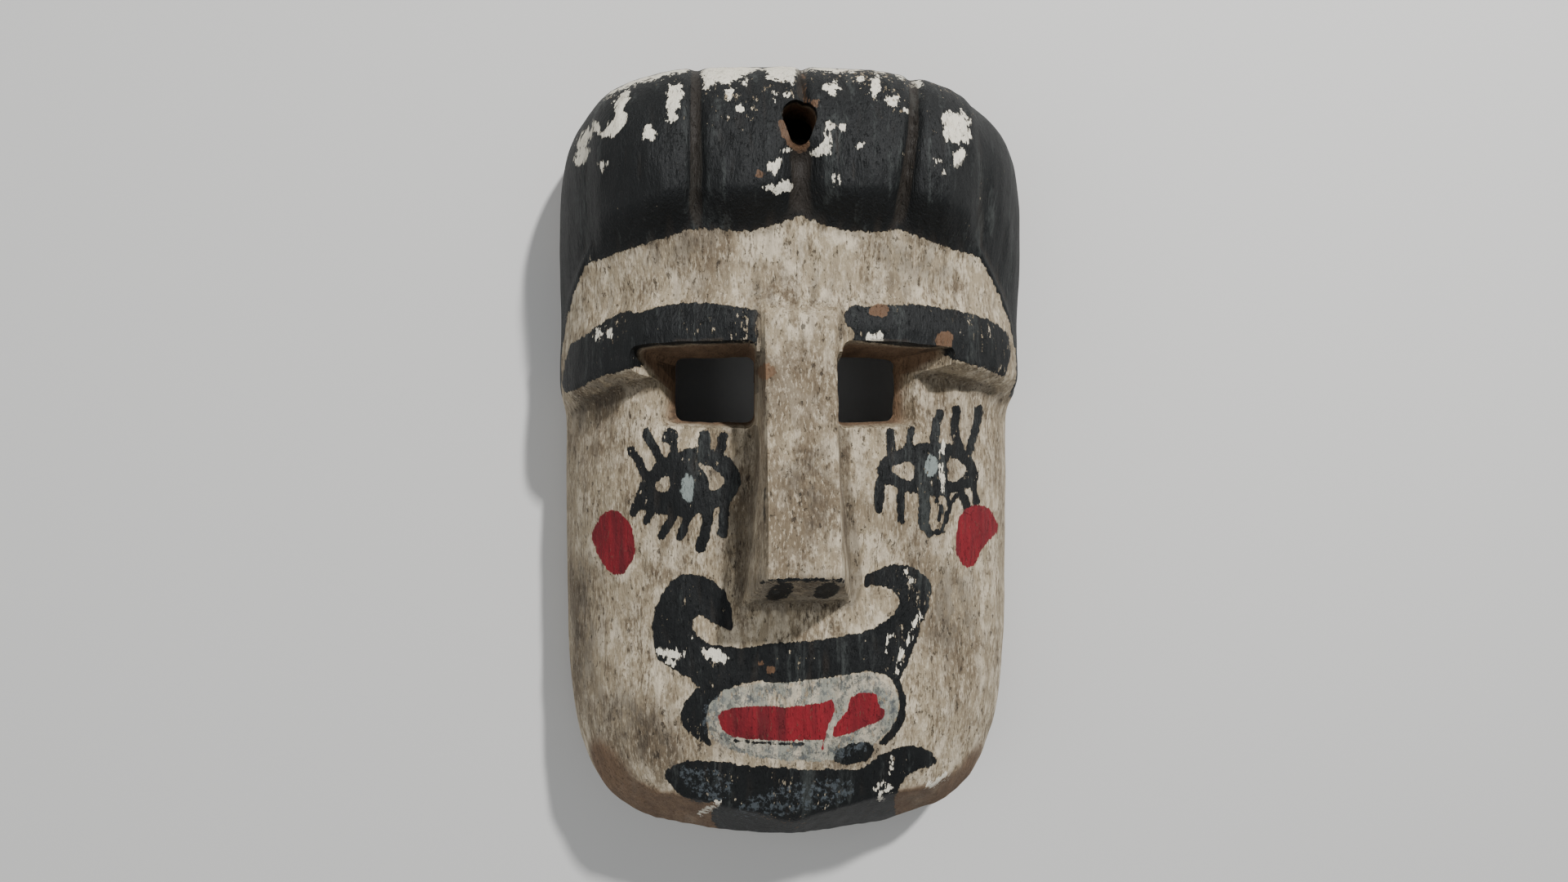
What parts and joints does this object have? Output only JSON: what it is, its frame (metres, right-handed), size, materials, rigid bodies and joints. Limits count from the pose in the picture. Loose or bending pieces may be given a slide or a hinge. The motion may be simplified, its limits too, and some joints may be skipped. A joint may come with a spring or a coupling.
{
  "type": "carved folk art mask",
  "caption": "Carved and painted wooden face mask, hollowed from behind, with eye holes and a hole for hanging, lying face up on its rim.",
  "frame": {"origin": "middle of the mask's box, on the plane of its back rim", "axes": "+Z out of the face, +Y up the face towards the hair, +X to the right of someone looking at the face"},
  "size_m": [0.159, 0.25, 0.0917],
  "materials": {
    "painted_wood": "worn cream, black and red paint over bare wood"
  },
  "bodies": {
    "root": {"mask": "painted_wood"}
  },
  "joints": []
}
